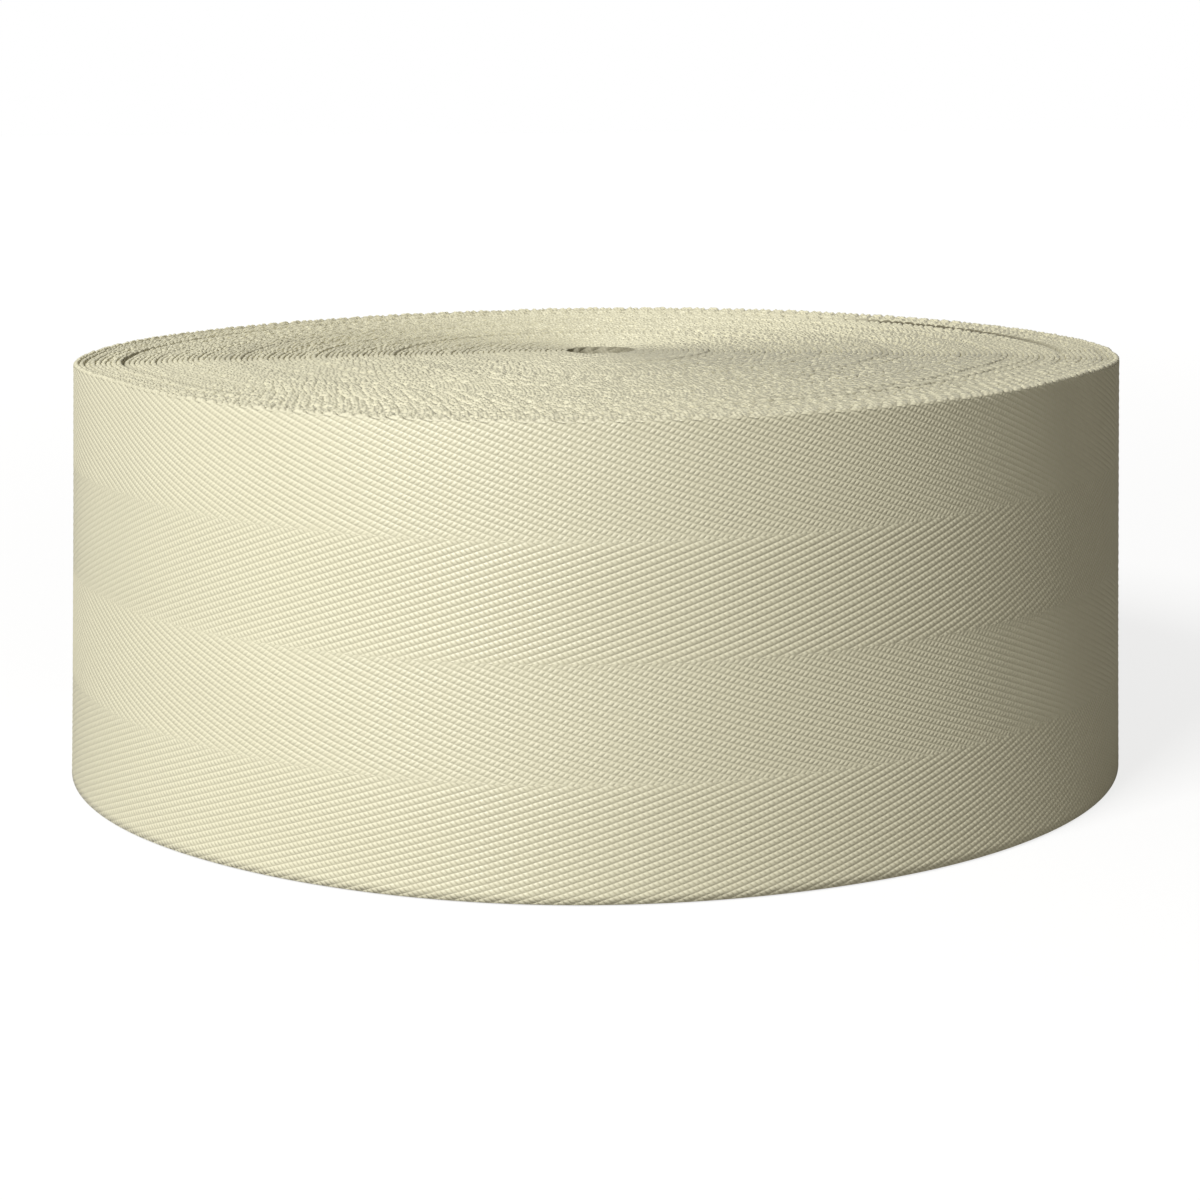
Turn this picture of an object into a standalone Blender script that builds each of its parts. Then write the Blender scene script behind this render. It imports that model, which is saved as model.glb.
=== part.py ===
"""Roll of herringbone twill webbing: one long strip wound flat upon itself round a spindle hole.

The roll lies on its flat side, so the webbing stands on its edge and its width is the roll's height.
Metres, +Z up. The origin is on the floor, under the middle of the roll's outline, and the roll is seen
from -Y. The single turns are thinner than a solid can show: the wound form, its slack outer turns, the
tail's end and the lines where turns stand apart are modelled.
"""
import math
from typing import NamedTuple

import bmesh
import bpy
import numpy as np
from mathutils import Matrix

MM = 0.001

# The webbing and how it is wound
WEBBING_WIDTH = 50.0 * MM
TURNS = 94
ROLL_RADIUS = 64.0 * MM
HOLE_RADIUS = 3.9 * MM
TURN_PITCH = (ROLL_RADIUS - HOLE_RADIUS) / TURNS
HOLE_OFF_CENTRE = (0.8 * MM, 1.8 * MM)
TAIL_ANGLE = math.radians(97.0)

# How the hand-wound roll strays from a plain cylinder
FOOT_SPREAD = 1.1 * MM
RIM_ROUND = 0.9 * MM
HOLE_ROUND = 0.35 * MM
SLACK = 0.5 * MM
CROWN = 0.15 * MM
SWAY = 0.10 * MM
SWAY_WAVES = 3

# How finely the section is carried round the roll
COLUMNS = 112
RIM_STEPS = 3
TAIL_STEP_LENGTH = 0.3 * MM

WEBBING_COLOUR = (0.80, 0.77, 0.62, 1.0)
WEBBING_ROUGHNESS = 0.85


class TurnLine(NamedTuple):
    """A line in the end face where two turns of the webbing stand apart."""

    radius_share: float   # of the roll's radius
    depth: float
    half_width: float
    middle: float         # degrees, anticlockwise from +X
    half_arc: float       # degrees, the line fades out towards both ends
    inner_step: float     # height of the turns inside the line against those outside


# From the rim to the hole
TURN_LINES = (
    TurnLine(0.977, 0.55 * MM, 0.30 * MM, 158.0, 62.0, -0.10 * MM),
    TurnLine(0.935, 0.45 * MM, 0.26 * MM, -14.0, 40.0, 0.06 * MM),
    TurnLine(0.880, 2.60 * MM, 0.55 * MM, 98.0, 108.0, -0.16 * MM),
    TurnLine(0.842, 0.60 * MM, 0.30 * MM, -158.0, 44.0, 0.10 * MM),
    TurnLine(0.795, 0.50 * MM, 0.28 * MM, -10.0, 50.0, 0.08 * MM),
    TurnLine(0.690, 0.35 * MM, 0.26 * MM, 190.0, 70.0, -0.12 * MM),
    TurnLine(0.560, 0.35 * MM, 0.26 * MM, 20.0, 80.0, 0.12 * MM),
    TurnLine(0.400, 0.30 * MM, 0.24 * MM, 150.0, 90.0, -0.06 * MM),
    TurnLine(0.220, 0.30 * MM, 0.24 * MM, -60.0, 90.0, 0.08 * MM),
)
SLACK_LINE = TURN_LINES[2]


def smooth_step(value):
    """Rise from 0 to 1 with no kink as value goes from 0 to 1."""
    clamped = min(max(value, 0.0), 1.0)
    return clamped * clamped * (3.0 - 2.0 * clamped)


def line_strength(line, angle):
    """1 along the middle of a turn line, falling to 0 at the two ends of its arc."""
    away = abs((math.degrees(angle) - line.middle + 180.0) % 360.0 - 180.0)
    return smooth_step(2.0 * (1.0 - away / line.half_arc))


def slack_swell(angle):
    """How far the slack outer turns stand out from the rest of the roll."""
    away = (math.degrees(angle) - SLACK_LINE.middle + 180.0) % 360.0 - 180.0
    return SLACK * smooth_step(1.0 - abs(away) / SLACK_LINE.half_arc)


def top_height(radius, angle, step):
    """Height of the upper end face: a slight crown, a slow sway and the step of its group of turns."""
    share = radius / ROLL_RADIUS
    crown = CROWN * (1.0 - share * share)
    sway = SWAY * share * math.sin(SWAY_WAVES * angle + 4.0 * share)
    return WEBBING_WIDTH + crown + sway + step


def quarter_round(radius, height, size, first_turn):
    """Points of a rounded corner, a quarter circle about (radius, height) from first_turn onwards."""
    turns = [first_turn + 0.25 * step / RIM_STEPS for step in range(RIM_STEPS + 1)]
    return [(radius + size * math.cos(math.tau * turn), height + size * math.sin(math.tau * turn))
            for turn in turns]


def upper_face(angle):
    """Points of the upper end face from the rim to the hole, dipping at each turn line."""
    points = []
    step = 0.0
    for line in TURN_LINES:
        radius = line.radius_share * ROLL_RADIUS
        inner_step = step + line.inner_step
        dip = line.depth * line_strength(line, angle)
        outer_edge = radius + line.half_width
        inner_edge = radius - line.half_width
        points.append((outer_edge, top_height(outer_edge, angle, step)))
        points.append((radius, top_height(radius, angle, 0.5 * (step + inner_step)) - dip))
        points.append((inner_edge, top_height(inner_edge, angle, inner_step)))
        step = inner_step
    return points, step


def section(angle, wound):
    """The roll's section at one angle, as (radius, height) points once round it.

    wound is the share of the outermost turn that lies behind this angle, counted from the tail's end.
    """
    growth = TURN_PITCH * (wound - 0.5)
    foot_radius = ROLL_RADIUS + FOOT_SPREAD + growth + slack_swell(angle)
    top_radius = foot_radius - FOOT_SPREAD
    hole_radius = HOLE_RADIUS + growth
    face, last_step = upper_face(angle)
    rim_height = top_height(top_radius, angle, 0.0)
    hole_height = top_height(hole_radius, angle, last_step)
    gap_radius = SLACK_LINE.radius_share * ROLL_RADIUS
    gap_dip = SLACK_LINE.depth * line_strength(SLACK_LINE, angle)
    under = [(gap_radius - SLACK_LINE.half_width, 0.0), (gap_radius, gap_dip),
             (gap_radius + SLACK_LINE.half_width, 0.0)]
    return (
        quarter_round(foot_radius - RIM_ROUND, RIM_ROUND, RIM_ROUND, -0.25)
        + quarter_round(top_radius - RIM_ROUND, rim_height - RIM_ROUND, RIM_ROUND, 0.0)
        + face
        + quarter_round(hole_radius + HOLE_ROUND, hole_height - HOLE_ROUND, HOLE_ROUND, 0.25)
        + quarter_round(hole_radius + HOLE_ROUND, HOLE_ROUND, HOLE_ROUND, 0.5)
        + under
    )


def column_angle(column, radius):
    """Angle of a column at a radius.

    The last column and the first stand close together at the rim, on the two sides of the tail's cut
    end, and as far apart as the others from half-way in.
    """
    even_share = 1.0 / (COLUMNS + 1)
    tail_share = TAIL_STEP_LENGTH / (math.tau * ROLL_RADIUS)
    share = even_share + (tail_share - even_share) * smooth_step(2.0 * radius / ROLL_RADIUS - 1.0)
    return TAIL_ANGLE + math.tau * (0.5 * share + (1.0 - share) * column / COLUMNS)


def place(radius, angle):
    """A point of the roll seen from above: the turns are centred on the hole, then on the roll."""
    inward = 1.0 - radius / ROLL_RADIUS
    return (HOLE_OFF_CENTRE[0] * inward + radius * math.cos(angle),
            HOLE_OFF_CENTRE[1] * inward + radius * math.sin(angle))


def loft_roll():
    """Carry the changing section round the roll and close it on itself."""
    body = bmesh.new()
    rings = []
    for column in range(COLUMNS + 1):
        middle_angle = column_angle(column, ROLL_RADIUS)
        ring = []
        for radius, height in section(middle_angle, column / COLUMNS):
            x, y = place(radius, column_angle(column, radius))
            ring.append(body.verts.new((x, y, height)))
        rings.append(ring)
    for ring, following in zip(rings, rings[1:] + rings[:1]):
        for index in range(len(ring)):
            after = (index + 1) % len(ring)
            body.faces.new((ring[index], following[index], following[after], ring[after]))
    bmesh.ops.recalc_face_normals(body, faces=body.faces)
    mesh = bpy.data.meshes.new("webbing_roll")
    body.to_mesh(mesh)
    body.free()
    return mesh


def stand_on_origin(mesh):
    """Move the mesh so that the middle of its outline is over the origin and its foot is at height 0."""
    points = np.empty(3 * len(mesh.vertices))
    mesh.vertices.foreach_get("co", points)
    points = points.reshape(-1, 3)
    low = points.min(axis=0)
    middle = 0.5 * (low + points.max(axis=0))
    mesh.transform(Matrix.Translation((-middle[0], -middle[1], -low[2])))


def webbing_material():
    """Undyed ivory yarn, dull and soft."""
    material = bpy.data.materials.new("ivory_twill_webbing")
    material.use_nodes = True
    shader = material.node_tree.nodes["Principled BSDF"]
    shader.inputs["Base Color"].default_value = WEBBING_COLOUR
    shader.inputs["Roughness"].default_value = WEBBING_ROUGHNESS
    shader.inputs["Metallic"].default_value = 0.0
    return material


def clear_scene():
    """Remove the objects that Blender starts with."""
    for thing in list(bpy.data.objects):
        bpy.data.objects.remove(thing, do_unlink=True)


def build():
    """Model the roll in a collection of its own."""
    clear_scene()
    collection = bpy.data.collections.new("roll_of_twill_webbing")
    bpy.context.scene.collection.children.link(collection)
    mesh = loft_roll()
    stand_on_origin(mesh)
    mesh.shade_smooth()
    mesh.set_sharp_from_angle(angle=math.radians(35.0))
    mesh.materials.append(webbing_material())
    roll = bpy.data.objects.new("webbing_roll", mesh)
    collection.objects.link(roll)


build()
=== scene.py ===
"""Looks of a roll of herringbone twill webbing, lying on its flat side.

One strip of ivory webbing is wound round a small spindle hole. The strip is made in lengths that abut. Each
length is a closed ribbon with rounded selvedges, and the outermost turn has the weave's ribs in its mesh.
Metres, +Z up, the roll's foot at height 0, seen from -Y.
"""
import sys
import logging
import math
from dataclasses import dataclass, field
from enum import Enum
from typing import Any, Mapping, Sequence, Union

import bmesh
import bpy
import numpy as np
from mathutils import Matrix


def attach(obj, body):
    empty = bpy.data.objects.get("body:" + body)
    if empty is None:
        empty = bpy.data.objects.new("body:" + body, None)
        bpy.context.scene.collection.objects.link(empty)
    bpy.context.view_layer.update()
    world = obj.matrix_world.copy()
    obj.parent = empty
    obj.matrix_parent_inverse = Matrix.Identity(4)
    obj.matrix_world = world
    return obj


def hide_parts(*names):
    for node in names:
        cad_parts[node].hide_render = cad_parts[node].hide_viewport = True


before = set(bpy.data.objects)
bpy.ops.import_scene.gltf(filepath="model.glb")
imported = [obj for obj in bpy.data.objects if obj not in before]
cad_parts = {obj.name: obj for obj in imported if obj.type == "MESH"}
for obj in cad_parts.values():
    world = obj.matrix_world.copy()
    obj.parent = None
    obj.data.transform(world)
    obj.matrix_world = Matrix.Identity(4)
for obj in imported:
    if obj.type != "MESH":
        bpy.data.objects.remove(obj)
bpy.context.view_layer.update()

MM = 0.001
BODY = "root"
CAD_NODE = "webbing_roll"
WEAVE_MAP = "weave"
CREST = "crest"
# attribute of painted shade in the notches, the open lines and the spindle hole
PAINTED_SHADE = "painted_shade"
SEED = 93
TURNS_IN_ALL = 94
WALL_END = -0.50 * MM              # where the outer face ends under the crest
SHARP_ANGLE = math.radians(75.0)
OUTLINE_STEPS = 1440

log = logging.getLogger("webbing_roll")


def smooth_step(value: np.ndarray) -> np.ndarray:
    """Rise from 0 to 1 with no kink as the value goes from 0 to 1: 3 x squared less 2 x cubed.

    Args:
        value: Any numbers; they are held between 0 and 1 first.

    Returns:
        The risen values, between 0 and 1.
    """
    held = np.clip(value, 0.0, 1.0)
    return held * held * (3.0 - 2.0 * held)


def away_from(angle: np.ndarray, middle: float) -> np.ndarray:
    """Degrees from a middle to each angle, between -180 and 180.

    Args:
        angle: Angles in radians.
        middle: The middle in degrees.

    Returns:
        The signed differences in degrees.
    """
    return (np.degrees(angle) - middle + 180.0) % 360.0 - 180.0


def soft_noise(place: np.ndarray, spacing: float, rng: np.random.Generator) -> np.ndarray:
    """Smooth random values along a line: random knots, one each spacing, joined by smooth steps.

    Args:
        place: Where along the line the noise is wanted, from 0 up.
        spacing: Distance between the knots.
        rng: Source of the knots' values.

    Returns:
        Values between -1 and 1.
    """
    knots = rng.uniform(-1.0, 1.0, int(TURNS_IN_ALL / spacing) + 4)
    step = np.maximum(place, 0.0) / spacing
    index = np.minimum(step.astype(int), len(knots) - 2)
    share = smooth_step(step - index)
    return knots[index] * (1.0 - share) + knots[index + 1] * share


def mixed_noise(place: np.ndarray, waves: Sequence[tuple[float, float]],
                rng: np.random.Generator) -> np.ndarray:
    """Several soft noises, added up.

    Args:
        place: Where along the line the noise is wanted, from 0 up.
        waves: The share of each noise and the spacing of its knots.
        rng: Source of the knots' values.

    Returns:
        Values between -1 and 1, where the shares add up to 1.
    """
    return sum(share * soft_noise(place, spacing, rng) for share, spacing in waves)


class RibRelief(Enum):
    """Where the ribs' relief is made."""

    IN_MESH = "in mesh"
    IN_FINISH = "in finish"


@dataclass(frozen=True)
class Weave:
    """The strip of webbing laid flat: a four-end herringbone twill in four bands."""

    width: float = 50.0 * MM
    thickness: float = 0.60 * MM
    bands: int = 4
    ribs_per_band: int = 18
    picks_per_rib: int = 4
    pick: float = 0.50 * MM
    rib_height: float = 0.036 * MM

    @property
    def rib_run(self) -> float:
        """Distance along the strip from one rib to the next."""
        return self.pick * self.picks_per_rib

    @property
    def band_width(self) -> float:
        """Width of one band of ribs."""
        return self.width / self.bands

    def fold(self, across: np.ndarray) -> np.ndarray:
        """0 at the strip's edges and its middle, 1 half-way between, in straight lines.

        Args:
            across: Distance from the lower edge.

        Returns:
            The share of a band's ribs that are crossed, from 0 to 1.
        """
        return 1.0 - np.abs(2.0 * ((across / (2.0 * self.band_width)) % 1.0) - 1.0)

    def zigzag(self, across: np.ndarray) -> np.ndarray:
        """How far a rib has run along the strip at a distance from the lower edge."""
        return self.ribs_per_band * self.rib_run * self.fold(across)

    def rib_profile(self, along: np.ndarray, across: np.ndarray) -> np.ndarray:
        """Height of the rounded ribs: 1 less the square of twice the distance to the rib's middle.

        Args:
            along: Distance along the strip.
            across: Distance from the lower edge.

        Returns:
            1 on a rib's crest and 0 in the valley between two.
        """
        phase = (along - self.zigzag(across)) / self.rib_run % 1.0
        return 1.0 - (2.0 * np.abs(phase - 0.5)) ** 2


@dataclass(frozen=True)
class TurnLine:
    """A line in the end face where two turns stand apart, with painted shade in its gap."""

    radius_share: float            # of the roll's radius
    opening: float
    middle: float                  # degrees, anticlockwise from +X
    half_arc: float                # degrees
    inner_step: float              # height of the turns inside the line against those outside
    dark_from: float = -360.0      # degrees clockwise from the middle, past which the line gets painted shade
    dark_rise: float = 15.0        # degrees before that, over which the painted shade rises
    # how much painted shade the line's gap gets
    painted_shade_weight: float = 0.5

    def strength(self, angle: np.ndarray) -> np.ndarray:
        """1 along the middle of the line, falling to 0 at the two ends of its arc."""
        return smooth_step(2.0 * (1.0 - np.abs(away_from(angle, self.middle)) / self.half_arc))

    def dark(self, angle: np.ndarray) -> np.ndarray:
        """How much painted shade the line gets: its painted shade weight times the square root of its
        strength, past dark_from.
        """
        past = smooth_step((-away_from(angle, self.middle) - self.dark_from) / self.dark_rise + 1.0)
        return self.painted_shade_weight * np.sqrt(self.strength(angle)) * past


TURN_LINES = (
    TurnLine(0.985, 0.14 * MM, 150.0, 66.0, -0.06 * MM),
    TurnLine(0.982, 0.12 * MM, 0.0, 14.0, 0.0),
    TurnLine(0.962, 0.12 * MM, 142.0, 50.0, -0.02 * MM),
    TurnLine(0.918, 0.20 * MM, -156.0, 40.0, 0.06 * MM, painted_shade_weight=0.8),
    TurnLine(0.9065, 0.12 * MM, 98.0, 104.0, -0.10 * MM, dark_from=56.0, painted_shade_weight=1.7),
    TurnLine(0.852, 0.14 * MM, 190.0, 50.0, 0.06 * MM),
    TurnLine(0.835, 0.14 * MM, -42.0, 34.0, 0.06 * MM, painted_shade_weight=0.8),
    TurnLine(0.795, 0.14 * MM, -40.0, 42.0, 0.08 * MM, painted_shade_weight=0.8),
    TurnLine(0.690, 0.12 * MM, 190.0, 70.0, -0.12 * MM),
    TurnLine(0.560, 0.12 * MM, 20.0, 80.0, 0.12 * MM),
    TurnLine(0.400, 0.10 * MM, 150.0, 90.0, -0.06 * MM),
    TurnLine(0.220, 0.10 * MM, -60.0, 90.0, 0.08 * MM),
)


@dataclass(frozen=True)
class Winding:
    """How the strip is wound. A place along it is given in turns from the inner end in the spindle hole."""

    turns: float = float(TURNS_IN_ALL)
    roll_radius: float = 64.0 * MM
    hole_radius: float = 3.9 * MM
    hole_off_centre: tuple[float, float] = (0.8 * MM, 1.8 * MM)
    tail_angle: float = math.radians(97.0)
    foot_spread: float = 1.1 * MM
    flares: tuple[tuple[float, float, float], ...] = (
        (197.0, 62.0, 0.95 * MM),   # middle and half arc in degrees, extra spread
        (262.0, 36.0, 0.70 * MM),
    )
    crown: float = 0.15 * MM
    sway: float = 0.10 * MM
    sway_waves: int = 3
    sway_twist: float = 4.0         # radians by which the sway turns from the hole to the rim
    slack: float = 0.55 * MM
    slack_from: float = 84.503      # in turns, where the slack outer turns begin
    slack_start: float = -1.0       # degrees, the right-hand end of the main gap
    slack_end: float = 206.0
    slack_rise: float = 4.0
    slack_fall: float = 60.0
    # painted shade on the inner face of the innermost turns, in the spindle hole
    hole_painted_shade: float = 0.75
    hole_painted_shade_end: float = 1.75    # in turns
    notch_painted_shade: float = 0.4        # painted shade in the middle of a notch, and as much again at its sides
    line_painted_shade: float = 0.6         # of a line's painted shade between the notches, and all of it in them
    line_crest_painted_shade: float = 0.3   # of that on the crests, and all of it on the faces in the line
    line_reach: float = 6.0         # turns on each side that a line pushes aside
    calm_turns: float = 34.0        # the innermost turns, which are wound the most evenly
    calmest: float = 0.3            # liveliness at the spindle hole
    tuck: float = 0.050             # how far the top is drawn in at the two sides in front, as a share
    tuck_front: float = 0.35        # part of it that the very front has
    tuck_peak: float = 60.0         # degrees from the front
    tuck_end: float = 86.0
    height_noise: float = 0.10 * MM
    height_waves: tuple[tuple[float, float], ...] = ((0.6, 0.93), (0.4, 0.13))  # shares, turns
    lean_noise: float = 0.05 * MM
    lean_waves: tuple[tuple[float, float], ...] = ((0.6, 0.19), (0.4, 1.07))
    lowest_foot: float = 0.01 * MM
    foot_noise: float = 0.06 * MM
    foot_wave: float = 0.71         # turns

    @property
    def pitch(self) -> float:
        """Distance between turns."""
        return (self.roll_radius - self.hole_radius) / self.turns

    def angle(self, turn: np.ndarray) -> np.ndarray:
        """Angle of a place, anticlockwise from +X."""
        return self.tail_angle + math.tau * turn

    def radius(self, turn: np.ndarray) -> np.ndarray:
        """Radius of the strip's middle at a place, before anything pushes it aside."""
        return self.hole_radius + self.pitch * turn

    def length(self, turn: np.ndarray) -> np.ndarray:
        """Length of strip from the inner end: turns times the circumference at their mean radius."""
        return math.tau * turn * (self.hole_radius + 0.5 * self.pitch * turn)

    def turn_at(self, length: np.ndarray) -> np.ndarray:
        """The place at a length of strip, the positive root of the quadratic in length()."""
        half = self.hole_radius / self.pitch
        return np.sqrt(half * half + length / (math.pi * self.pitch)) - half

    def swell(self, turn: np.ndarray) -> np.ndarray:
        """How far the slack outer turns stand out: a smooth rise at the right, a smooth fall at the left.

        Args:
            turn: Places along the strip.

        Returns:
            Radial shifts, outwards positive.
        """
        past = (np.degrees(self.angle(turn)) - self.slack_start) % 360.0
        arc = self.slack_end - self.slack_start
        swollen = smooth_step(past / self.slack_rise) * smooth_step((arc - past) / self.slack_fall)
        return np.where(turn >= self.slack_from, self.slack * swollen, 0.0)

    def turn_of(self, line: TurnLine) -> float:
        """The place along the strip that has a line's radius."""
        return (line.radius_share * self.roll_radius - self.hole_radius) / self.pitch

    def from_line(self, turn: np.ndarray, line: TurnLine) -> np.ndarray:
        """Turns from a line: 0.5 on the first turn outside it, -0.5 on the first inside it, and so on.

        Args:
            turn: Places along the strip.
            line: The line, which changes turns opposite its middle.

        Returns:
            Whole numbers and a half, outwards positive.
        """
        opposite = ((line.middle + 180.0) / 360.0 - self.tail_angle / math.tau) % 1.0
        return np.floor(turn - opposite) - math.floor(self.turn_of(line) - opposite) + 0.5

    def push(self, turn: np.ndarray) -> np.ndarray:
        """How far the turn lines push the strip in or out, most at the line and less with each turn from it.

        Args:
            turn: Places along the strip.

        Returns:
            Radial shifts, outwards positive.
        """
        shift = np.zeros_like(turn)
        for line in TURN_LINES:
            count = self.from_line(turn, line)
            fade = np.clip(1.0 - (np.abs(count) - 0.5) / self.line_reach, 0.0, 1.0)
            shift += 0.5 * line.opening * line.strength(self.angle(turn)) * np.sign(count) * fade
        return shift

    def painted_shade(self, turn: np.ndarray, side: np.ndarray, notch: np.ndarray) -> np.ndarray:
        """Painted shade on the strip: in the notches, most at their sides, in the open lines and in the hole.

        Args:
            turn: Places along the strip.
            side: -1 on the inner face, 1 on the outer, 0 on the crest.
            notch: Depth of the notches between loops, from 0 to 1.

        Returns:
            Values from 0 to 1.
        """
        near_hole = np.clip(self.hole_painted_shade_end - turn, 0.0, 1.0)
        hole = self.hole_painted_shade * near_hole * np.clip(-side, 0.0, 1.0) ** 2
        dark = np.maximum(hole, notch * self.notch_painted_shade * (1.0 + side * side) * self.liveliness(turn))
        in_line = self.line_painted_shade + (1.0 - self.line_painted_shade) * notch
        for line in TURN_LINES:
            count = self.from_line(turn, line)
            inwards = -side * np.sign(count)
            facing = np.clip(self.line_crest_painted_shade + (1.0 - self.line_crest_painted_shade) * inwards, 0.0, 1.0)
            beside = np.abs(count) < 1.0
            dark = np.maximum(dark, beside * facing * in_line * line.dark(self.angle(turn)))
        return np.clip(dark, 0.0, 1.0)

    def spread(self, angle: np.ndarray) -> np.ndarray:
        """How much wider the foot is than the top: the same all round, and more at the two flares.

        Args:
            angle: Angles anticlockwise from +X, in radians.

        Returns:
            Widths in metres, at the outermost turn.
        """
        extra = sum(size * smooth_step(1.0 - np.abs(away_from(angle, middle)) / half_arc)
                    for middle, half_arc, size in self.flares)
        return self.foot_spread + extra

    def top(self, turn: np.ndarray) -> np.ndarray:
        """Height of the upper selvedge: crown, slow sway, a step at each line, and uneven winding.

        Args:
            turn: Places along the strip.

        Returns:
            Heights in metres.
        """
        rng = np.random.default_rng(SEED)
        share = self.radius(turn) / self.roll_radius
        swing = np.sin(self.sway_waves * self.angle(turn) + self.sway_twist * share)
        height = WEAVE.width + self.crown * (1.0 - share * share) + self.sway * share * swing
        for line in TURN_LINES:
            height = height + line.inner_step * smooth_step(self.turn_of(line) - turn + 0.5)
        return height + self.height_noise * mixed_noise(turn, self.height_waves, rng) * self.liveliness(turn)

    def liveliness(self, turn: np.ndarray) -> np.ndarray:
        """How rough the end face is: least at the spindle hole, rising to 1 past the calm turns."""
        return self.calmest + (1.0 - self.calmest) * smooth_step(turn / self.calm_turns)

    def tucked(self, angle: np.ndarray) -> np.ndarray:
        """Share by which the top is drawn in: a third of the most in front, nothing at the back.

        Args:
            angle: Angles anticlockwise from +X, in radians.

        Returns:
            Shares of the radius.
        """
        from_front = np.abs(away_from(angle, -90.0))
        rise = self.tuck_front + (1.0 - self.tuck_front) * smooth_step(from_front / self.tuck_peak)
        fall = smooth_step((self.tuck_end - from_front) / (self.tuck_end - self.tuck_peak))
        return self.tuck * rise * fall

    def foot(self, turn: np.ndarray) -> np.ndarray:
        """Height of the lower selvedge over the floor."""
        uneven = soft_noise(turn, self.foot_wave, np.random.default_rng(SEED + 1))
        return self.lowest_foot + self.foot_noise * (0.5 + 0.5 * uneven)

    def lean(self, turn: np.ndarray) -> np.ndarray:
        """How far the upper selvedge leans in or out, which widens and narrows the valleys between turns."""
        return self.lean_noise * mixed_noise(turn, self.lean_waves, np.random.default_rng(SEED + 2))

    def place(self, turn: np.ndarray, outward: np.ndarray, height: np.ndarray) -> np.ndarray:
        """Points of the strip in space.

        The radius is the winding's own, plus what pushes the turn aside, plus the spread of the foot, which
        grows with the radius, less what the top is drawn in, which grows with the radius and the height. The
        turns are centred on the hole and then, further out, on the roll.

        Args:
            turn: Places along the strip.
            outward: Distances from the strip's middle, outwards positive.
            height: Heights over the floor.

        Returns:
            The points, with x, y and z in the last axis.
        """
        angle = self.angle(turn)
        nominal = self.radius(turn)
        share = nominal / self.roll_radius
        high = height / WEAVE.width
        spread = self.spread(angle) * share * (1.0 - high) - nominal * self.tucked(angle) * high
        radius = nominal + self.swell(turn) + self.push(turn) + outward + spread + self.lean(turn) * high
        x = self.hole_off_centre[0] * (1.0 - share) + radius * np.cos(angle)
        y = self.hole_off_centre[1] * (1.0 - share) + radius * np.sin(angle)
        return np.stack([x, y, height], axis=-1)


WEAVE = Weave()
WINDING = Winding()


@dataclass(frozen=True)
class SectionRow:
    """One row of points along a ribbon, as a point of its section."""

    side: float       # -1 on the inner face, 1 on the outer
    share: float      # 0 at the foot, 1 at the top
    inset: float      # height over the foot or under the crest, added to the share's height
    crest: float      # how much of the notches between selvedge loops the row takes
    ribs: float       # how much of the ribs' relief the row takes


def top_rows() -> list[SectionRow]:
    """The rounded upper selvedge, from the outer face to the inner one."""
    return [
        SectionRow(1.0, 1.0, -0.18 * MM, 0.45, 0.0),
        SectionRow(0.66, 1.0, -0.05 * MM, 0.85, 0.0),
        SectionRow(0.0, 1.0, 0.0, 1.0, 0.0),
        SectionRow(-0.66, 1.0, -0.05 * MM, 0.85, 0.0),
        SectionRow(-1.0, 1.0, -0.18 * MM, 0.45, 0.0),
    ]


def foot_rows() -> list[SectionRow]:
    """The rounded lower selvedge, from the inner face to the outer one."""
    return [
        SectionRow(-1.0, 0.0, 0.16 * MM, 0.0, 0.0),
        SectionRow(0.0, 0.0, 0.0, 1.0, 0.0),
        SectionRow(1.0, 0.0, 0.16 * MM, 0.0, 0.0),
    ]


def wall_rows(rows_per_band: int) -> list[SectionRow]:
    """The outer face between the selvedges, with rows where the bands meet.

    Args:
        rows_per_band: Steps from one band's edge to the other.

    Returns:
        The rows from the foot up, without the two selvedges.
    """
    count = rows_per_band * WEAVE.bands
    rows = [SectionRow(1.0, step / count, 0.0, 0.0, 1.0) for step in range(1, count)]
    return [*rows, SectionRow(1.0, 1.0, WALL_END, 0.0, 1.0)]


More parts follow.
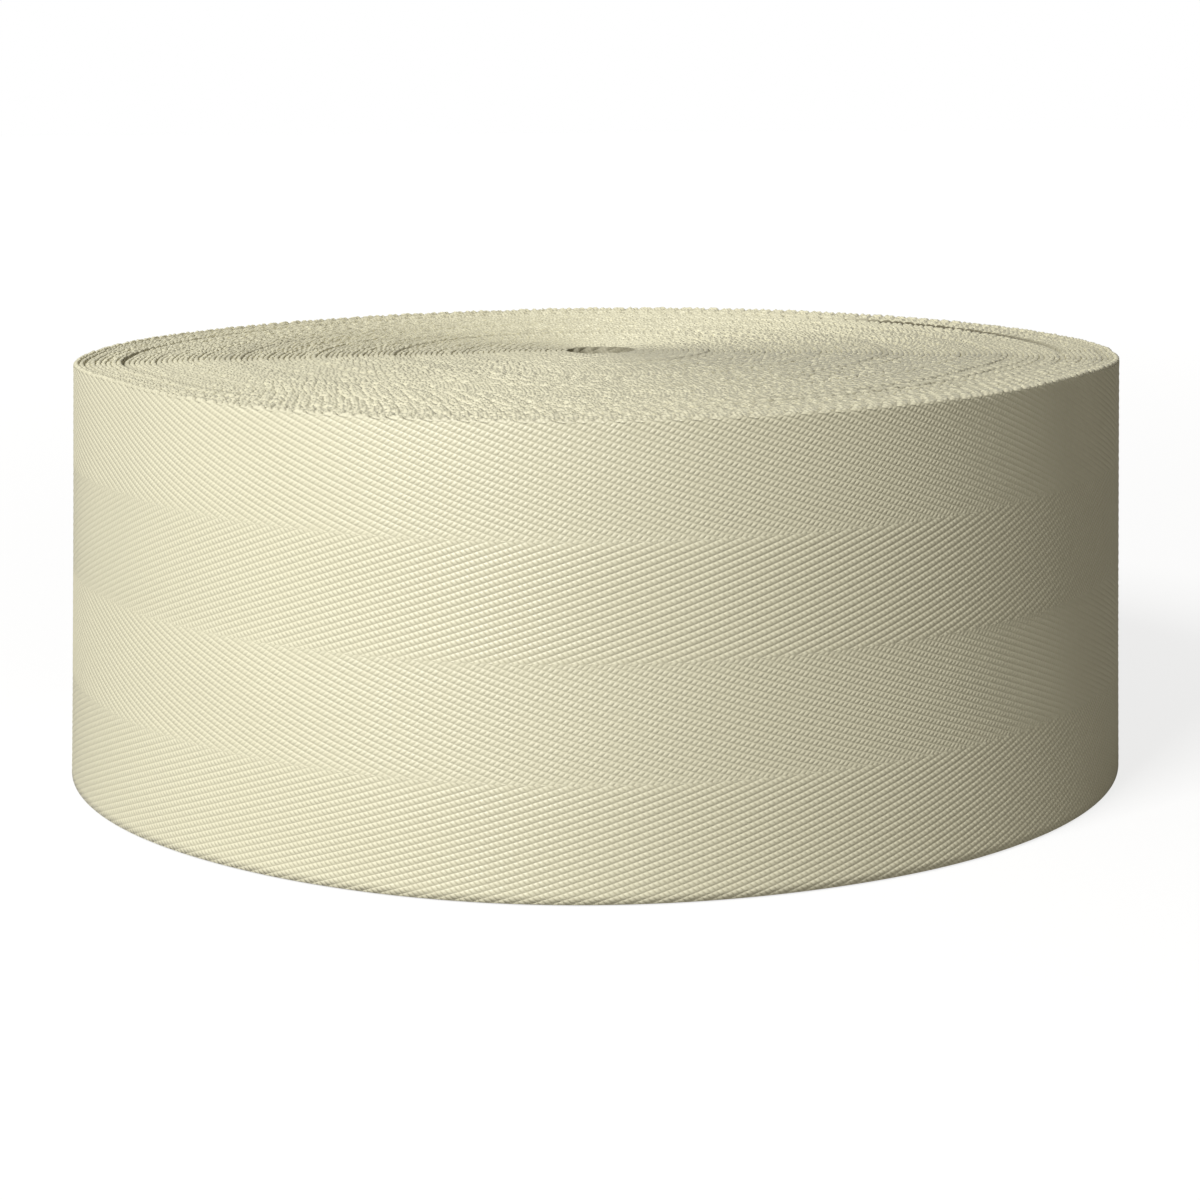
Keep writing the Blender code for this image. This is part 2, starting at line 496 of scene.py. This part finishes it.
@dataclass
class StripLength:
    """One length of the strip, as a closed ribbon."""

    name: str
    start: float                       # in turns from the inner end
    end: float
    columns_per_rib: int
    rows_per_band: int = 0             # 0 leaves the outer face plain, for turns that others cover
    relief: RibRelief = RibRelief.IN_FINISH
    notch_depth: float = 0.55 * MM
    notch_waist: float = 0.17 * MM     # how far a notch draws in each face
    deep_least: float = 0.45           # depth of the shallowest of the deep notches, as a share
    deep_half: float = 0.27            # half their length, in ribs
    shallow_most: float = 0.6
    shallow_half: float = 0.23
    crest_fall: float = 0.08 * MM      # how far the crest falls from its middle to its outer side
    loop_lift: float = 0.06 * MM       # how unevenly the single loops stand up
    loop_lean: float = 0.05 * MM       # and how unevenly they lean
    trench_turns: float = 3.7
    stray: float = 0.14                # in ribs
    stray_wave: float = 0.31           # in turns
    cap_fade: float = 1.2 * MM
    rows: list[SectionRow] = field(default_factory=list)

    def __post_init__(self) -> None:
        """Put the section together from the foot's outer side, up, over, down and under."""
        feet = foot_rows()
        wall = wall_rows(self.rows_per_band) if self.rows_per_band else []
        self.rows = [feet[-1], *wall, *top_rows(), *feet[:-1]]

    @property
    def ends(self) -> tuple[float, float]:
        """Lengths of strip at the two ends."""
        return float(WINDING.length(self.start)), float(WINDING.length(self.end))

    def column_values(self, name: str) -> np.ndarray:
        """One value of every row, as an array."""
        return np.array([getattr(row, name) for row in self.rows])

    def across(self) -> np.ndarray:
        """Distance round the section from the foot of the outer face.

        Returns:
            The distance of each row, and last the whole way round.
        """
        side = 0.5 * WEAVE.thickness * self.column_values("side")
        height = WEAVE.width * self.column_values("share") + self.column_values("inset")
        side, height = np.append(side, side[0]), np.append(height, height[0])
        steps = np.hypot(np.diff(side), np.diff(height))
        return height[0] + np.concatenate([[0.0], np.cumsum(steps)])

    def loops(self, along: np.ndarray, turn: np.ndarray) -> tuple[np.ndarray, np.ndarray, np.ndarray]:
        """The selvedge's loops, with a deep notch at each rib and a shallow one half-way.

        A turn is about two ribs longer than the one inside it, so notches line up across turns. A few turns
        share an offset, which gives short trenches, and each turn strays from it a little.

        Args:
            along: Distance along the strip.
            turn: The same places in turns.

        Returns:
            The notches, from 0 on a loop to 1 in a deep one, and each loop's lift and lean, from -1 to 1.
        """
        rng = np.random.default_rng(SEED + 3)
        offsets = rng.uniform(0.0, 1.0, int(WINDING.turns / self.trench_turns) + 2)
        offset = offsets[(np.maximum(turn, 0.0) / self.trench_turns).astype(int)]
        count = along / WEAVE.rib_run + 2.0 + offset + self.stray * soft_noise(turn, self.stray_wave, rng)
        whole = int(WINDING.length(WINDING.turns) / WEAVE.rib_run) + 6
        nearest = np.clip(np.round(count).astype(int), 0, whole - 1)
        lower = np.clip(count.astype(int), 0, whole - 1)
        deep_shape = smooth_step(1.0 - np.abs(count - nearest) / self.deep_half)
        shallow_shape = smooth_step(1.0 - np.abs(count - lower - 0.5) / self.shallow_half)
        deep = rng.uniform(self.deep_least, 1.0, whole)[nearest] * deep_shape
        shallow = rng.uniform(0.0, self.shallow_most, whole)[lower] * shallow_shape
        loop = np.clip((2.0 * count).astype(int), 0, 2 * whole - 1)
        lift = rng.uniform(-1.0, 1.0, 2 * whole)[loop]
        lean = rng.uniform(-1.0, 1.0, 2 * whole)[loop]
        return deep + shallow, lift, lean

    def grid(self, level: np.ndarray, ribs: np.ndarray) -> tuple[np.ndarray, np.ndarray]:
        """Lay out the columns along the ribbon.

        The columns of a face with ribs follow the ribs' zigzag, and are held between the two straight ends.

        Args:
            level: Height of each row.
            ribs: How much of the ribs' relief each row takes.

        Returns:
            The distances along the strip, and the column that stands for each point.
        """
        first, last = self.ends
        shift = WEAVE.zigzag(level) * (ribs > 0.0)
        step = WEAVE.rib_run / self.columns_per_rib
        columns = step * np.arange(math.floor((first - shift.max()) / step), math.ceil(last / step) + 1)
        count = len(columns) - 1
        raw = columns[:, None] + shift[None, :]
        low = np.maximum((raw <= first).sum(axis=0) - 1, 0)
        high = np.minimum(count + 1 - (raw >= last).sum(axis=0), count)
        kept = np.clip(np.arange(count + 1)[:, None], low[None, :], high[None, :])
        return np.clip(raw, first, last), kept

    def surface(self) -> tuple[np.ndarray, np.ndarray, np.ndarray, np.ndarray]:
        """Work out every point of the ribbon on a grid of columns along it and rows round it.

        Returns:
            The points, the distances along the strip, how much painted shade each point has, and its column.
        """
        first, last = self.ends
        share, inset = self.column_values("share"), self.column_values("inset")
        ribs, crest = self.column_values("ribs"), self.column_values("crest")
        side = self.column_values("side")
        level = share * WEAVE.width + inset * (ribs > 0.0)
        along, kept = self.grid(level, ribs)
        turn = WINDING.turn_at(along)
        notches, lift, lean = self.loops(along, turn)
        looped = crest * (share > 0.5)
        to_end = np.minimum(along - first, last - along)
        fade = smooth_step(to_end / self.cap_fade) if self.relief is RibRelief.IN_MESH else 1.0
        relief = WEAVE.rib_height * (WEAVE.rib_profile(along, level) - 0.5) * ribs * fade
        waist = side * (0.5 * WEAVE.thickness - self.notch_waist * notches * looped)
        base = WINDING.foot(turn) * (1.0 - share) + WINDING.top(turn) * share
        raised = self.loop_lift * lift - self.notch_depth * notches - self.crest_fall * side
        edge = (inset + raised * looped) * WINDING.liveliness(turn)
        points = WINDING.place(turn, waist + self.loop_lean * lean * looped + relief, base + edge)
        # painted shade in the notches, the open lines and the spindle hole
        dark = WINDING.painted_shade(turn, side, notches * (looped > 0.0))
        return points, along, dark, kept

    def faces(self, kept: np.ndarray) -> list[list[int]]:
        """Join the grid into faces: quads, triangles where a column meets an end, and the two cut ends.

        Args:
            kept: The column that stands for each grid point.

        Returns:
            Corner numbers of every face, each pointing out.
        """
        rows = len(self.rows)
        corner = kept * rows + np.arange(rows)[None, :]
        around = np.concatenate([corner, corner[:, :1]], axis=1)
        near, far = around[:-1], around[1:]
        a, b, c, d = near[:, :-1], far[:, :-1], far[:, 1:], near[:, 1:]
        foot_open, top_open = a != b, c != d
        quads = np.stack([a, b, c, d], axis=-1)[foot_open & top_open]
        upper = np.stack([a, c, d], axis=-1)[~foot_open & top_open]
        lower = np.stack([a, b, c], axis=-1)[foot_open & ~top_open]
        caps = [corner[0].tolist(), corner[-1][::-1].tolist()]
        return quads.tolist() + upper.tolist() + lower.tolist() + caps

    def build(self) -> bpy.types.Object:
        """Make the ribbon's mesh with its map of the weave, its crest values and its painted shade.

        Returns:
            The ribbon, in place.
        """
        points, along, dark, kept = self.surface()
        mesh = bpy.data.meshes.new(self.name)
        mesh.from_pydata((points.reshape(-1, 3) - CENTRE).tolist(), [], self.faces(kept))
        self.write_map(mesh, along)
        crest = np.tile(self.column_values("crest"), len(along))
        for name, values in ((CREST, crest), (PAINTED_SHADE, dark.reshape(-1))):
            layer = mesh.attributes.new(name, "FLOAT", "POINT")
            layer.data.foreach_set("value", values.astype(np.float32))
        drop_unused(mesh)
        mesh.shade_smooth()
        mesh.set_sharp_from_angle(angle=SHARP_ANGLE)
        ribbon = bpy.data.objects.new(self.name, mesh)
        bpy.context.scene.collection.objects.link(ribbon)
        return ribbon

    def write_map(self, mesh: bpy.types.Mesh, along: np.ndarray) -> None:
        """Write the map of the weave: along the strip, and round it from the foot of the outer face.

        Args:
            mesh: The ribbon's mesh.
            along: Distance along the strip of each grid point.
        """
        rows = len(self.rows)
        across = self.across()
        vertex = np.empty(len(mesh.loops), dtype=np.int32)
        mesh.loops.foreach_get("vertex_index", vertex)
        start = np.empty(len(mesh.polygons), dtype=np.int32)
        total = np.empty(len(mesh.polygons), dtype=np.int32)
        mesh.polygons.foreach_get("loop_start", start)
        mesh.polygons.foreach_get("loop_total", total)
        row = vertex % rows
        face_has_last = np.maximum.reduceat(row, start) == rows - 1
        closing = np.repeat(face_has_last & (total < 5), total) & (row == 0)
        values = np.stack([along.reshape(-1)[vertex], np.where(closing, across[-1], across[row])], axis=-1)
        layer = mesh.uv_layers.new(name=WEAVE_MAP)
        layer.data.foreach_set("uv", values.astype(np.float32).reshape(-1))

    def dress(self, ribbon: bpy.types.Object, finish: "WebbingFinish") -> None:
        """Give the ribbon its finish, hang it on the roll's body and hide the CAD part.

        Args:
            ribbon: The ribbon from build().
            finish: The finish of the webbing.
        """
        ribbon.data.materials.append(finish.material())
        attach(ribbon, BODY)
        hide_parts(CAD_NODE)


def drop_unused(mesh: bpy.types.Mesh) -> None:
    """Delete the points that no face uses.

    Args:
        mesh: The mesh to clean.
    """
    body = bmesh.new()
    body.from_mesh(mesh)
    loose = [vertex for vertex in body.verts if not vertex.link_faces]
    bmesh.ops.delete(body, geom=loose, context="VERTS")
    body.to_mesh(mesh)
    body.free()


def outline_centre() -> np.ndarray:
    """Middle of the roll's outline over the floor, which is moved to the origin.

    Returns:
        The point half-way between the outermost turn's least and greatest x and y.
    """
    turn = np.linspace(WINDING.turns - 1.0, WINDING.turns, OUTLINE_STEPS + 1)
    foot = WINDING.place(turn, np.full_like(turn, 0.5 * WEAVE.thickness), np.zeros_like(turn))
    middle = 0.5 * (foot.min(axis=0) + foot.max(axis=0))
    return np.array([middle[0], middle[1], 0.0])


CENTRE = outline_centre()

Number = Union[float, "Value"]


class Value:
    """A number that a shader socket gives, with the usual arithmetic."""

    def __init__(self, graph: "Graph", socket: bpy.types.NodeSocket) -> None:
        """Wrap an output socket of a graph."""
        self.graph = graph
        self.socket = socket

    def math(self, operation: str, *others: Number) -> "Value":
        """Apply a Math node's operation to this value and others."""
        return self.graph.math(operation, self, *others)

    def __add__(self, other: Number) -> "Value":
        """Sum."""
        return self.graph.math("ADD", self, other)

    __radd__ = __add__

    def __sub__(self, other: Number) -> "Value":
        """Difference."""
        return self.graph.math("SUBTRACT", self, other)

    def __rsub__(self, other: Number) -> "Value":
        """Difference from a number."""
        return self.graph.math("SUBTRACT", other, self)

    def __mul__(self, other: Number) -> "Value":
        """Product."""
        return self.graph.math("MULTIPLY", self, other)

    __rmul__ = __mul__

    def __truediv__(self, other: Number) -> "Value":
        """Quotient."""
        return self.graph.math("DIVIDE", self, other)

    def __pow__(self, other: Number) -> "Value":
        """Power."""
        return self.graph.math("POWER", self, other)

    def __abs__(self) -> "Value":
        """Distance from 0."""
        return self.graph.math("ABSOLUTE", self)

    def fraction(self) -> "Value":
        """What is left over a whole number."""
        return self.graph.math("FRACT", self)

    def whole(self) -> "Value":
        """The whole number at or below."""
        return self.graph.math("FLOOR", self)

    def held(self) -> "Value":
        """Held between 0 and 1."""
        return self.graph.math("MINIMUM", self.graph.math("MAXIMUM", self, 0.0), 1.0)


class Graph:
    """A node tree that is written as expressions."""

    def __init__(self, tree: bpy.types.NodeTree) -> None:
        """Start with an empty tree."""
        self.tree = tree
        tree.nodes.clear()

    def node(self, kind: str, settings: Mapping[str, Any], sockets: Mapping[Any, Any]) -> bpy.types.Node:
        """Add a node.

        Args:
            kind: The node's type.
            settings: Its properties, which are set first.
            sockets: Values or links of its inputs, by name or number.

        Returns:
            The node.
        """
        made = self.tree.nodes.new(kind)
        for name, value in settings.items():
            setattr(made, name, value)
        for name, value in sockets.items():
            if isinstance(value, Value):
                value = value.socket
            if isinstance(value, bpy.types.NodeSocket):
                self.tree.links.new(value, made.inputs[name])
            else:
                made.inputs[name].default_value = value
        return made

    def value(self, kind: str, settings: Mapping[str, Any], sockets: Mapping[Any, Any],
              output: Any = 0) -> Value:
        """Add a node and wrap one of its outputs."""
        return Value(self, self.node(kind, settings, sockets).outputs[output])

    def math(self, operation: str, *terms: Number) -> Value:
        """Add a Math node."""
        return self.value("ShaderNodeMath", {"operation": operation}, dict(enumerate(terms)))

    def point(self, x: Number, y: Number, z: Number = 0.0) -> bpy.types.NodeSocket:
        """A vector of three numbers."""
        return self.node("ShaderNodeCombineXYZ", {}, {0: x, 1: y, 2: z}).outputs[0]

    def noise(self, x: Number, y: Number, detail: float) -> Value:
        """Soft flat noise, with a knot at each whole number."""
        return self.value("ShaderNodeTexNoise", {"noise_dimensions": "2D"},
                          {"Vector": self.point(x, y), "Scale": 1.0, "Detail": detail})

    def blend(self, share: Number, first: Any, second: Any) -> bpy.types.NodeSocket:
        """Mix two colours."""
        mix = self.node("ShaderNodeMix", {"data_type": "RGBA"}, {0: share, 6: first, 7: second})
        return mix.outputs[2]


def colour(red: float, green: float, blue: float) -> tuple[float, float, float, float]:
    """A colour with full cover, in linear light."""
    return (red, green, blue, 1.0)


@dataclass(frozen=True)
class WebbingFinish:
    """Undyed ivory yarn in a herringbone twill: satin ribs, grains along each rib, looped selvedges."""

    relief: RibRelief
    yarn: tuple[float, float, float, float] = colour(0.885, 0.85, 0.635)
    # darker yarn colour, reached by painted shade in the weave's hollows and by the random tone
    painted_shade_and_tone: tuple[float, float, float, float] = colour(0.47, 0.43, 0.27)
    # colour of the painted shade in the notches, the open lines and the spindle hole
    deep: tuple[float, float, float, float] = colour(0.16, 0.14, 0.085)
    rib_height: float = 0.05           # heights are in millimetres
    rib_share_in_mesh: float = 0.1     # part of it that stays in the finish, where the mesh has ribs
    rib_round: float = 2.2             # power of the fall from a rib's middle to its sides
    grain_height: float = 0.055
    grain_least: float = 0.8           # share of it that the lowest grain has
    grain_spread: float = 0.4
    loop_height: float = 0.05
    loop_slant: float = 0.12           # how far each loop falls towards the tail's end
    loop_lay: float = 0.9              # picks that a loop runs along, for each millimetre across
    fibre_height: float = 0.006
    fibre_grain: tuple[float, float] = (1.1, 9.0)      # waves a millimetre, along and across
    mottle_grain: tuple[float, float] = (0.02, 0.05)
    rib_gap_painted_shade: float = 0.40         # painted shade between the grains of a rising band, on its ribs
    valley_gap_painted_shade: float = 0.16      # and between them
    rising_mean: float = 0.14          # painted shade taken off again, so that all bands are equally bright
    # painted shade between ribs and grains, in every band
    weave_gap_painted_shade: float = 0.05
    # painted shade between the selvedge loops on the crest
    loop_gap_painted_shade: float = 0.06
    # painted highlight on the crests, the roll's top
    crest_painted_highlight: float = 0.05
    chance_tone: float = 0.04
    mottle_tone: float = 0.15
    fibre_tone: float = 0.05
    mean_tone: float = 0.14
    least_rough: float = 0.42
    rough_gain: float = 0.3            # added with the tone, and with the painted shade

    def material(self) -> bpy.types.Material:
        """Make the material, or take the one that another length already has.

        Returns:
            The material.
        """
        name = "ivory_webbing_" + self.relief.name.lower()
        if name in bpy.data.materials:
            return bpy.data.materials[name]
        material = bpy.data.materials.new(name)
        material.use_nodes = True
        self.shade(Graph(material.node_tree))
        return material

    def shade(self, graph: Graph) -> None:
        """Write the nodes.

        Along and across are in millimetres. A rib's phase is the distance along less the zigzag, in ribs. A
        grain's phase is the distance along in picks less the rib's phase, so grains lie across the ribs.

        Args:
            graph: The material's node tree.
        """
        weave_map = graph.node("ShaderNodeUVMap", {"uv_map": WEAVE_MAP}, {})
        parts = graph.node("ShaderNodeSeparateXYZ", {}, {0: weave_map.outputs[0]})
        along = Value(graph, parts.outputs[0]) / MM
        across = Value(graph, parts.outputs[1]) / MM
        crest = graph.value("ShaderNodeAttribute", {"attribute_name": CREST}, {}, "Fac")

        double_band = 2.0 * WEAVE.band_width / MM
        band_place = (across / double_band).fraction()
        fold = 1.0 - abs(band_place * 2.0 - 1.0)

        rib_phase = along / (WEAVE.rib_run / MM) - fold * WEAVE.ribs_per_band
        from_rib = rib_phase.fraction() - 0.5
        rib = 1.0 - (abs(from_rib) * 2.0) ** self.rib_round
        grain_phase = along / (WEAVE.pick / MM) - rib_phase
        from_grain = grain_phase.fraction() - 0.5
        grain = 1.0 - (abs(from_grain) * 2.0) ** 2.0

        cell = graph.point(grain_phase.whole(), rib_phase.whole(), (across / double_band * 2.0).whole())
        chance = graph.value("ShaderNodeTexWhiteNoise", {"noise_dimensions": "3D"}, {"Vector": cell}, "Value")
        fibre = graph.noise(along * self.fibre_grain[0], across * self.fibre_grain[1], 2.0)
        mottle = graph.noise(along * self.mottle_grain[0], across * self.mottle_grain[1], 3.0)

        wall = 1.0 - crest.held()
        loop_phase = (along / (WEAVE.pick / MM) + across * self.loop_lay).fraction() - 0.5
        loop = 1.0 - (abs(loop_phase) * 2.0) ** 2.0
        slant = 1.0 - (along / (2.0 * WEAVE.pick / MM)).fraction()

        in_finish = 1.0 if self.relief is RibRelief.IN_FINISH else self.rib_share_in_mesh
        grain_rise = self.grain_height * self.grain_least + chance * (self.grain_height * self.grain_spread)
        woven = rib * (self.rib_height * in_finish) + rib * grain * grain_rise
        looped = (loop * self.loop_height + slant * self.loop_slant) * crest
        height = woven * wall + looped + fibre * self.fibre_height

        rising = band_place.math("LESS_THAN", 0.5)
        # painted shade between the grains, most in rising bands, and between ribs and grains in all bands
        rising_gap_shade = (1.0 - grain) * (rib * self.rib_gap_painted_shade + self.valley_gap_painted_shade) - self.rising_mean
        shade = rising * rising_gap_shade + (1.0 - rib * grain) * self.weave_gap_painted_shade
        # painted shade between the loops on the crest, less a painted highlight on the crest
        painted_shade_and_tone = shade * wall + (1.0 - loop) * crest * self.loop_gap_painted_shade - crest * self.crest_painted_highlight
        uneven = (0.5 - chance) * self.chance_tone + (0.5 - mottle) * self.mottle_tone
        tone = (painted_shade_and_tone + uneven + (0.5 - fibre) * self.fibre_tone + self.mean_tone).held()
        # painted shade from the mesh darkens the colour towards the deep colour
        painted_shade = graph.value("ShaderNodeAttribute", {"attribute_name": PAINTED_SHADE}, {}, "Fac").held()
        base = graph.blend(painted_shade, graph.blend(tone, self.yarn, self.painted_shade_and_tone), self.deep)
        bump = graph.node("ShaderNodeBump", {}, {"Strength": 1.0, "Distance": MM, "Height": height})
        rough = self.least_rough + (tone + painted_shade) * self.rough_gain
        shader = graph.node("ShaderNodeBsdfPrincipled", {}, {
            "Base Color": base, "Roughness": rough, "Normal": bump.outputs[0],
            "Sheen Weight": 0.15, "Sheen Roughness": 0.45, "Specular IOR Level": 0.5})
        graph.node("ShaderNodeOutputMaterial", {}, {"Surface": shader.outputs[0]})


@dataclass(frozen=True)
class SoftLight:
    """A square soft light that faces the roll."""

    name: str
    azimuth: float       # degrees to the right of the camera
    elevation: float
    distance: float
    size: float
    power: float
    tint: tuple[float, float, float] = (1.0, 1.0, 1.0)
    aim_height: float = 30.0 * MM

    def build(self) -> None:
        """Hang the light and turn it to the roll's middle."""
        data = bpy.data.lights.new(self.name, "AREA")
        data.size = self.size
        data.energy = self.power
        data.color = self.tint
        lamp = bpy.data.objects.new(self.name, data)
        turn, rise = math.radians(self.azimuth), math.radians(self.elevation)
        flat = self.distance * math.cos(rise)
        height = self.aim_height + self.distance * math.sin(rise)
        lamp.location = (flat * math.sin(turn), -flat * math.cos(turn), height)
        lamp.rotation_euler = (math.pi / 2 - rise, 0.0, turn)
        bpy.context.scene.collection.objects.link(lamp)


@dataclass(frozen=True)
class Studio:
    """Camera, soft lights, pale floor and white surroundings."""

    camera_distance: float = 315.9 * MM
    camera_height: float = 83.07 * MM
    camera_pitch: float = 10.18        # degrees down
    camera_roll: float = -0.38
    lens: float = 76.35
    sensor: float = 36.0
    shift: tuple[float, float] = (0.0034, -0.05)
    floor_reach: float = 4.0
    floor_level: float = -0.05 * MM
    floor_grey: float = 0.24
    floor_glow: float = 0.78           # under the roll, as the camera sees it
    floor_white_at: float = 0.9        # distance at which the glow is full
    floor_return: float = 0.115        # light that the floor sends back up to the roll
    ambient: float = 0.145
    warmth: tuple[float, float, float, float] = colour(1.0, 0.93, 0.79)
    lights: tuple[SoftLight, ...] = (
        SoftLight("key_light", -38.0, 41.0, 1.2, 0.40, 14.4),
        SoftLight("fill_light", 40.0, 8.0, 1.2, 0.6, 0.15, (1.0, 0.94, 0.84)),
    )

    def build(self) -> None:
        """Set up the whole studio."""
        self.build_camera()
        self.build_floor()
        self.build_surroundings()
        for light in self.lights:
            light.build()
        bpy.context.scene.view_settings.view_transform = "Standard"

    def build_camera(self) -> None:
        """Stand the camera where the photograph was taken from."""
        data = bpy.data.cameras.new("camera")
        data.lens = self.lens
        data.sensor_width = self.sensor
        data.shift_x, data.shift_y = self.shift
        data.clip_start = 0.01
        camera = bpy.data.objects.new("camera", data)
        camera.location = (0.0, -self.camera_distance, self.camera_height)
        tilt = Matrix.Rotation(math.radians(90.0 - self.camera_pitch), 3, "X")
        twist = Matrix.Rotation(math.radians(self.camera_roll), 3, "Z")
        camera.rotation_euler = (tilt @ twist).to_euler("XYZ")
        bpy.context.scene.collection.objects.link(camera)
        bpy.context.scene.camera = camera

    def build_floor(self) -> None:
        """Lay a pale floor that glows a little, so that shadows on it stay light."""
        reach = self.floor_reach
        mesh = bpy.data.meshes.new("floor")
        ends = ((-reach, -reach), (reach, -reach), (reach, reach), (-reach, reach))
        mesh.from_pydata([(x, y, self.floor_level) for x, y in ends], [], [(0, 1, 2, 3)])
        floor = bpy.data.objects.new("floor", mesh)
        bpy.context.scene.collection.objects.link(floor)
        material = bpy.data.materials.new("pale_floor")
        material.use_nodes = True
        graph = Graph(material.node_tree)
        place = graph.node("ShaderNodeTexCoord", {}, {}).outputs["Object"]
        away = graph.value("ShaderNodeVectorMath", {"operation": "LENGTH"}, {0: place}, "Value")
        seen = Value(graph, graph.node("ShaderNodeLightPath", {}, {}).outputs["Is Camera Ray"])
        shown = self.floor_glow + (1.0 - self.floor_glow) * (away / self.floor_white_at).held()
        returned = colour(*(self.floor_return * part for part in self.warmth[:3]))
        glowing = graph.blend(seen, returned, graph.point(shown, shown, shown))
        grey = colour(self.floor_grey, self.floor_grey, self.floor_grey)
        shader = graph.node("ShaderNodeBsdfPrincipled", {}, {
            "Base Color": grey, "Roughness": 0.9, "Specular IOR Level": 0.0,
            "Emission Color": glowing, "Emission Strength": 1.0})
        graph.node("ShaderNodeOutputMaterial", {}, {"Surface": shader.outputs[0]})
        mesh.materials.append(material)
        floor.visible_glossy = False

    def build_surroundings(self) -> None:
        """White where the camera looks past the floor, and a faint even light on the roll."""
        world = bpy.data.worlds.new("studio")
        world.use_nodes = True
        graph = Graph(world.node_tree)
        seen = graph.node("ShaderNodeLightPath", {}, {}).outputs["Is Camera Ray"]
        faint = graph.node("ShaderNodeBackground", {}, {"Color": self.warmth, "Strength": self.ambient})
        white = graph.node("ShaderNodeBackground", {}, {"Color": colour(1.0, 1.0, 1.0), "Strength": 1.0})
        mix = graph.node("ShaderNodeMixShader", {}, {0: seen, 1: faint.outputs[0], 2: white.outputs[0]})
        graph.node("ShaderNodeOutputWorld", {}, {"Surface": mix.outputs[0]})
        bpy.context.scene.world = world


@dataclass
class WebbingRoll:
    """The whole roll, from the spindle hole to the tail."""

    lengths: Sequence[StripLength] = (
        StripLength("core_turns", 0.45, 48.0, 4),
        StripLength("middle_turns", 48.0, 70.0, 4),
        StripLength("wide_turns", 70.0, 82.0, 6),
        StripLength("slack_turns", 82.0, 92.95, 6),
        StripLength("outer_turn", 92.95, 94.0, 8, rows_per_band=12, relief=RibRelief.IN_MESH),
    )

    def build(self) -> None:
        """Build and dress every length."""
        for length in self.lengths:
            ribbon = length.build()
            length.dress(ribbon, WebbingFinish(length.relief))


def main() -> None:
    """Build the roll in its studio."""
    logging.basicConfig(level=logging.INFO, format="%(message)s", stream=sys.stdout)
    Studio().build()
    WebbingRoll().build()


if __name__ == "__main__":
    main()
